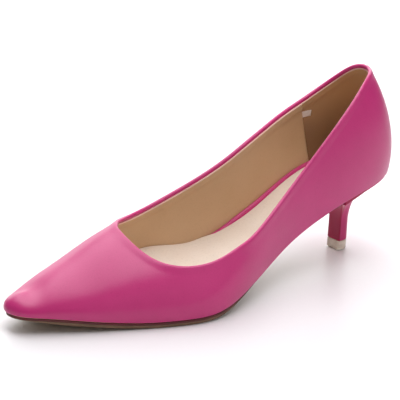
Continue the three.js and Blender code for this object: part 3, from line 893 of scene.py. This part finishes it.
def size_tag(materials):
    """Small blank label on the medial counter lining, its front edge at the seam."""
    front_x, front_low, front_high = -42.0, 72.1, 75.8
    back_x, back_low, back_high = -34.7, 72.4, 75.9
    across, up = np.meshgrid(np.linspace(0, 1, 15), np.linspace(0, 1, 9), indexing="ij")
    x = mix(front_x, back_x, across)
    z = mix(mix(front_low, back_low, across), mix(front_high, back_high, across), up)
    # Finds u and w of every point of the label by stepping along the last
    u, w = np.full(x.shape, 1.25), np.full(x.shape, 0.4)
    for _ in range(40):
        point = last_point(u, w) - last_normal(u, w) * (LEATHER + LINING)
        along, rise = last_slopes(u, w)
        u = np.clip(u + 0.6 * (x - point[..., 0]) / along[..., 0], 1.02, 1.6)
        w = np.clip(w + 0.6 * (z - point[..., 2]) / rise[..., 2], 0.05, 0.95)
    point, normal = last_point(u, w), last_normal(u, w)
    face = LEATHER + LINING + LINING_GAP
    rim = np.minimum(np.minimum(across, 1 - across) * 8, np.minimum(up, 1 - up) * 5)
    thick = 0.1 + 0.14 * np.minimum(1, rim) ** 0.5
    skin = Skin()
    back = point - normal * (face - COUNTER_STEP - 0.05)
    front = point - normal * (face - COUNTER_STEP + thick)[..., None]
    skin.grid(front)
    skin.grid(back)
    for side in (np.s_[0], np.s_[-1], np.s_[:, 0], np.s_[:, -1]):
        skin.grid(np.stack([front[side], back[side]]))
    skin.piece("blank_size_tag", materials, ["upper"], "upper_leather")


# Materials

def socket(node, name):
    """The input in use that bears the name; some nodes have several of one name."""
    return next(s for s in node.inputs if s.name == name and s.enabled)


def place(tree, kind, settings=None, **inputs):
    """Adds a node; an input is a value or another node's output, named or numbered as in0."""
    node = tree.nodes.new(kind)
    for key, value in (settings or {}).items():
        setattr(node, key, value)
    for name, value in inputs.items():
        if name[:2] == "in" and name[2:].isdigit():
            target = node.inputs[int(name[2:])]
        else:
            target = socket(node, name.replace("_", " "))
        if isinstance(value, bpy.types.NodeSocket):
            tree.links.new(value, target)
        else:
            target.default_value = value
    return node


def group(name, inputs, outputs, build):
    """Shader group with named sockets; build gets the tree, its inputs and fills its outputs."""
    tree = bpy.data.node_groups.new(name, "ShaderNodeTree")
    for title, kind, value in inputs:
        made = tree.interface.new_socket(title, in_out="INPUT", socket_type=kind)
        if value is not None:
            made.default_value = value
    for title, kind in outputs:
        tree.interface.new_socket(title, in_out="OUTPUT", socket_type=kind)
    start, end = tree.nodes.new("NodeGroupInput"), tree.nodes.new("NodeGroupOutput")
    for title, value in build(tree, start.outputs).items():
        tree.links.new(value, end.inputs[title])
    return tree


def use(tree, made, **inputs):
    return place(tree, "ShaderNodeGroup", {"node_tree": made}, **inputs)


def place_of(tree):
    return place(tree, "ShaderNodeTexCoord").outputs["Object"]


def noise(tree, at, scale, detail, roughness=0.5):
    return place(
        tree, "ShaderNodeTexNoise", Vector=at, Scale=scale, Detail=detail, Roughness=roughness,
    )


def blend(tree, share, first, second, kind="MIX"):
    """Goes from the first colour to the second by the share."""
    settings = {"data_type": "RGBA", "blend_type": kind}
    return place(tree, "ShaderNodeMix", settings, Factor=share, A=first, B=second).outputs[2]


def build_grain(tree, given):
    """Fine pebbles of finished leather with pores between them."""
    warp = noise(tree, given["Place"], 900.0, 2.0)
    bent = place(
        tree, "ShaderNodeMixRGB", {"blend_type": "LINEAR_LIGHT"},
        Fac=0.0006, Color1=given["Place"], Color2=warp.outputs["Color"],
    )
    cells = place(
        tree, "ShaderNodeTexVoronoi", {"feature": "SMOOTH_F1"},
        Vector=bent.outputs[0], Scale=given["Scale"], Smoothness=0.6,
    )
    soft = noise(tree, given["Place"], given["Scale"], 3.0, 0.6)
    both = place(
        tree, "ShaderNodeMath", {"operation": "MULTIPLY_ADD"},
        in0=cells.outputs["Distance"], in1=-0.7, in2=soft.outputs["Fac"],
    )
    pores = place(
        tree, "ShaderNodeMapRange", Value=cells.outputs["Distance"], From_Min=0.55, From_Max=0.8,
    )
    return {"Height": both.outputs[0], "Pores": pores.outputs[0]}


def build_drift(tree, given):
    """Slow drift of tone over a skin, from a darker to a lighter colour."""
    wide = noise(tree, given["Place"], given["Scale"], 4.0, 0.55)
    share = place(
        tree, "ShaderNodeMapRange", Value=wide.outputs["Fac"], From_Min=0.3, From_Max=0.7,
    )
    return {"Color": blend(tree, share.outputs[0], given["Dark"], given["Light"])}


def build_gloss(tree, given):
    """Roughness that wanders between two values in soft patches and fine rub marks."""
    wide = noise(tree, given["Place"], 60.0, 5.0, 0.65)
    value = place(
        tree, "ShaderNodeMapRange", Value=wide.outputs["Fac"],
        From_Min=0.3, From_Max=0.7, To_Min=given["Low"], To_Max=given["High"],
    )
    return {"Roughness": value.outputs[0]}


def build_tint(tree, given):
    """Darkens the pores of the grain."""
    share = place(
        tree, "ShaderNodeMath", {"operation": "MULTIPLY"}, in0=given["Pores"], in1=given["Amount"],
    )
    return {"Color": blend(tree, share.outputs[0], given["Color"], PORE_TONE, "MULTIPLY")}


def build_fade(tree, given):
    """Goes over to another colour from one place to another along an axis: painted shade and
    painted light.
    """
    share = place(
        tree, "ShaderNodeMapRange", {"interpolation_type": "SMOOTHSTEP"},
        Value=given["Along"], From_Min=given["Start"], From_Max=given["End"],
    )
    return {"Color": blend(tree, share.outputs[0], given["Color"], given["Other"])}


PORE_TONE = (0.25, 0.2, 0.2, 1)
VALUE, COLOUR = "NodeSocketFloat", "NodeSocketColor"
PLACE = ("Place", "NodeSocketVector", None)

grain = group(
    "leather grain", [PLACE, ("Scale", VALUE, 1500.0)],
    [("Height", VALUE), ("Pores", VALUE)], build_grain,
)
drift = group(
    "tone drift",
    [PLACE, ("Scale", VALUE, 40.0), ("Dark", COLOUR, None), ("Light", COLOUR, None)],
    [("Color", COLOUR)], build_drift,
)
gloss = group(
    "gloss patches", [PLACE, ("Low", VALUE, 0.3), ("High", VALUE, 0.4)],
    [("Roughness", VALUE)], build_gloss,
)
pore_shade = group(
    "pore shade", [("Color", COLOUR, None), ("Pores", VALUE, 0.0), ("Amount", VALUE, 0.06)],
    [("Color", COLOUR)], build_tint,
)
painted_light_fade = group(
    "painted light fade",
    [
        ("Color", COLOUR, None), ("Other", COLOUR, None),
        ("Along", VALUE, 0.0), ("Start", VALUE, 0.0), ("End", VALUE, 1.0),
    ],
    [("Color", COLOUR)], build_fade,
)


def srgb(red, green, blue):
    """A colour as it shows on a screen, 0 to 255, turned into linear light."""
    def linear(v):
        v /= 255
        return v / 12.92 if v <= 0.04045 else ((v + 0.055) / 1.055) ** 2.4
    return linear(red), linear(green), linear(blue), 1.0


def skin_material(
    name, dark, light, rough, grain_scale, grain_depth, pore_tint=0.06, drift_scale=40.0,
    fade=None, **shader,
):
    """Leather or a leather-like sheet: drift of tone, darker pores, grain and gloss patches.

    fade paints shade and light: it blends to another colour along an axis: the axis, where it
    starts and ends, the colour.
    """
    material = bpy.data.materials.new(name)
    material.use_nodes = True
    tree = material.node_tree
    body = tree.nodes["Principled BSDF"]
    at = place_of(tree)
    tone = use(tree, drift, Place=at, Scale=drift_scale, Dark=srgb(*dark), Light=srgb(*light))
    skin = use(tree, grain, Place=at, Scale=grain_scale)
    colour = use(
        tree, pore_shade, Color=tone.outputs[0], Pores=skin.outputs["Pores"], Amount=pore_tint,
    )
    if fade:
        axis, start, end, other = fade
        along = place(tree, "ShaderNodeSeparateXYZ", Vector=at).outputs[axis]
        colour = use(
            tree, painted_light_fade, Color=colour.outputs[0], Other=srgb(*other), Along=along,
            Start=start * MM, End=end * MM,
        )
    shine = use(tree, gloss, Place=at, Low=rough[0], High=rough[1])
    bump = place(
        tree, "ShaderNodeBump", Strength=1.0, Distance=grain_depth * MM,
        Height=skin.outputs["Height"],
    )
    tree.links.new(colour.outputs[0], body.inputs["Base Color"])
    tree.links.new(shine.outputs[0], body.inputs["Roughness"])
    tree.links.new(bump.outputs[0], body.inputs["Normal"])
    for key, value in shader.items():
        body.inputs[key.replace("_", " ")].default_value = value
    return material


# The flat front of the heel, in line with the front of the lift
BREAST = lift_low[0] / MM

pink_leather = skin_material(
    "pink_leather", (202, 51, 121), (209, 57, 127), (0.29, 0.35), 1700.0, 0.03,
    Coat_Weight=0.12, Coat_Roughness=0.24, Specular_IOR_Level=0.4,
)
# Painted shade: the heel cover turns darker crimson at its flat front, the breast, which the arch
# shades
pink_heel = skin_material(
    "pink_heel_cover", (198, 46, 112), (205, 52, 120), (0.28, 0.34), 2100.0, 0.012,
    fade=("X", BREAST + 1.0, BREAST + 0.3, (174, 30, 78)),
    Coat_Weight=0.05, Coat_Roughness=0.22, Specular_IOR_Level=0.22,
)
pink_wrap = skin_material(
    "pink_insole_wrap", (205, 55, 124), (213, 64, 133), (0.42, 0.5), 1700.0, 0.03,
)
tan_lining = skin_material(
    "tan_lining", (209, 175, 135), (215, 182, 144), (0.44, 0.54), 1300.0, 0.03,
    pore_tint=0.05, drift_scale=30.0,
)
pale_edge = skin_material(
    "pale_cut_edge", (244, 204, 186), (250, 216, 200), (0.65, 0.75), 2600.0, 0.05,
)
# Painted light: the counter's suede turns lighter towards the top, where more light falls on it
counter_suede = skin_material(
    "counter_suede", (132, 95, 58), (142, 104, 66), (0.85, 0.95), 3200.0, 0.06,
    pore_tint=0.15, drift_scale=60.0, fade=("Z", 55, 92, (212, 168, 120)),
    Sheen_Weight=0.25, Sheen_Roughness=0.5,
)
cream_sock = skin_material(
    "cream_sock", (238, 224, 207), (244, 232, 217), (0.5, 0.62), 1200.0, 0.05,
    pore_tint=0.08, drift_scale=55.0,
)
white_tag = skin_material(
    "white_tag", (236, 222, 214), (246, 236, 230), (0.6, 0.7), 3600.0, 0.04,
)
# Painted shade: the sole's edge turns darker towards the heel, along the waist under the arch
sole_edge = skin_material(
    "sole_edge", (112, 84, 62), (130, 100, 76), (0.5, 0.6), 1800.0, 0.03, drift_scale=120.0,
    fade=("X", -26, 8, (70, 38, 34)),
)
sole_joint = skin_material(
    "sole_joint", (96, 40, 42), (112, 48, 48), (0.5, 0.6), 1800.0, 0.02, drift_scale=120.0,
)
sole_tread = skin_material(
    "sole_tread", (150, 122, 90), (164, 136, 102), (0.6, 0.72), 1000.0, 0.08, pore_tint=0.3,
    drift_scale=30.0,
)
pin_steel = skin_material(
    "pin_steel", (120, 114, 108), (150, 145, 140), (0.3, 0.45), 5000.0, 0.004, Metallic=1.0,
)
clear_lift = skin_material(
    "clear_lift", (252, 240, 220), (255, 245, 228), (0.05, 0.10), 900.0, 0.006, pore_tint=0.0,
    Transmission_Weight=0.3, IOR=1.5,
)

upper_leather([pink_leather])
linings([tan_lining, pale_edge], [counter_suede, pale_edge])
outsole([sole_tread, sole_edge, sole_joint])
insole([pink_wrap])
sock([cream_sock])
heel_cover([pink_heel])
top_lift([clear_lift])
size_tag([white_tag])

# The pin keeps its solid and only takes its steel
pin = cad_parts["lift_pin"]
pin.data.materials.clear()
pin.data.materials.append(pin_steel)


# Floor, light and camera

FLOOR_REACH = 8.0
FLOOR_DROP = 0.0002
FLOOR_TONES = (0.895, 0.895, 0.90, 1), (0.925, 0.925, 0.93, 1)
FAR_PAINTED_SHADE = (0.3, 0.3, 0.31, 1)
FAR_CENTRE = (0.22, 0.26, 0)
FAR_START, FAR_END = 0.60, 0.85
SKY_LOW = 0.05, (0.16, 0.155, 0.17, 1)
SKY_HIGH = 0.6, (0.95, 0.95, 0.97, 1)
SKY_STRENGTH = 0.16


def lamp(name, size, stand, target, power, colour=(1, 1, 1)):
    """A rectangular softbox that stands at one point and faces another."""
    light = bpy.data.lights.new(name, "AREA")
    light.shape = "RECTANGLE"
    light.size, light.size_y = size
    light.energy = power
    light.color = colour
    made = add_object(name, light)
    made.location = stand
    made.rotation_euler = (Vector(target) - Vector(stand)).to_track_quat("-Z", "Y").to_euler()


def white_floor():
    """White paper under the shoe; far from the lamps its colour is painted darker, as painted
    shade, so it doesn't glare.
    """
    r, z = FLOOR_REACH, -FLOOR_DROP
    mesh = bpy.data.meshes.new("floor")
    mesh.from_pydata([(-r, -r, z), (r, -r, z), (r, r, z), (-r, r, z)], [], [(0, 1, 2, 3)])
    floor = add_object("floor", mesh)
    paper = bpy.data.materials.new("white_floor")
    paper.use_nodes = True
    tree = paper.node_tree
    body = tree.nodes["Principled BSDF"]
    distance = place(
        tree, "ShaderNodeVectorMath", {"operation": "DISTANCE"},
        in0=place_of(tree), in1=FAR_CENTRE,
    )
    away = place(
        tree, "ShaderNodeMapRange", Value=distance.outputs["Value"],
        From_Min=FAR_START, From_Max=FAR_END,
    )
    near = blend(tree, noise(tree, place_of(tree), 400.0, 3.0).outputs["Fac"], *FLOOR_TONES)
    # Painted shade: the paper's colour goes over to grey away from the lamps
    tone = blend(tree, away.outputs[0], near, FAR_PAINTED_SHADE)
    tree.links.new(tone, body.inputs["Base Color"])
    body.inputs["Roughness"].default_value = 0.35
    body.inputs["Specular IOR Level"].default_value = 0.3
    mesh.materials.append(paper)


def sky():
    """Soft light from above, grey near the horizon; the camera itself sees white."""
    world = bpy.data.worlds.new("studio")
    bpy.context.scene.world = world
    world.use_nodes = True
    tree = world.node_tree
    tree.nodes.clear()
    at = place(tree, "ShaderNodeTexCoord").outputs["Generated"]
    height = place(tree, "ShaderNodeSeparateXYZ", Vector=at).outputs["Z"]
    ramp = place(tree, "ShaderNodeValToRGB", Fac=height)
    for stop, (position, colour) in zip(ramp.color_ramp.elements, (SKY_LOW, SKY_HIGH)):
        stop.position = position
        stop.color = colour
    glow = place(tree, "ShaderNodeBackground", Color=ramp.outputs[0], Strength=SKY_STRENGTH)
    white = place(tree, "ShaderNodeBackground", Color=(1, 1, 1, 1), Strength=1.0)
    seen = place(tree, "ShaderNodeLightPath").outputs["Is Camera Ray"]
    both = place(tree, "ShaderNodeMixShader", in0=seen, in1=glow.outputs[0], in2=white.outputs[0])
    place(tree, "ShaderNodeOutputWorld", Surface=both.outputs[0])


def lights():
    """A box over the shoe, a wide one in front, and a tall backdrop that makes the ridge shine."""
    lamp(
        "overhead_softbox", (0.64, 1.5), (0.04, 0.15, 0.95), (0.04, 0.15, 0.0), 12.0,
        (1.0, 0.98, 1.0),
    )
    lamp("side_softbox", (2.4, 1.2), (0.5, -1.5, 0.7), (0, 0, 0.05), 4.8)
    lamp("white_backdrop", (2.2, 1.2), (0.75, 1.12, 0.68), (0, 0, 0.10), 18.0)


# Camera, fitted to the photograph: angles in degrees, lengths in mm, focal length in pixels
AROUND, ABOVE, ROLL = 39.713, 19.224, 2.647
DISTANCE = 841.646
AIM_ACROSS, AIM_UP = 3.958, -42.85
AIM_AT = (0.332, -5.953, 0)
FOCAL, PHOTO_WIDTH = 1591.245, 400
SENSOR_WIDTH = 36


def camera():
    """The photograph's viewpoint, fitted to the shoe's outline."""
    around, above, turned = (math.radians(a) for a in (AROUND, ABOVE, ROLL))
    back = np.array([
        -math.sin(around) * math.cos(above), -math.cos(around) * math.cos(above), math.sin(above),
    ])
    level = np.array([math.cos(around), -math.sin(around), 0])
    upright = np.cross(back, level)
    right = level * math.cos(turned) + upright * math.sin(turned)
    up = -level * math.sin(turned) + upright * math.cos(turned)
    eye = back * DISTANCE - right * AIM_ACROSS - up * AIM_UP - AIM_AT
    data = bpy.data.cameras.new("camera")
    data.sensor_width = SENSOR_WIDTH
    data.lens = FOCAL * SENSOR_WIDTH / PHOTO_WIDTH
    data.clip_start, data.clip_end = 0.01, 50
    made = add_object("camera", data)
    facing = Matrix(np.stack([right, up, back], 1).tolist()).to_4x4()
    made.matrix_world = Matrix.Translation(Vector(eye * MM)) @ facing
    bpy.context.scene.camera = made


white_floor()
sky()
lights()
camera()
bpy.context.scene.view_settings.view_transform = "Standard"
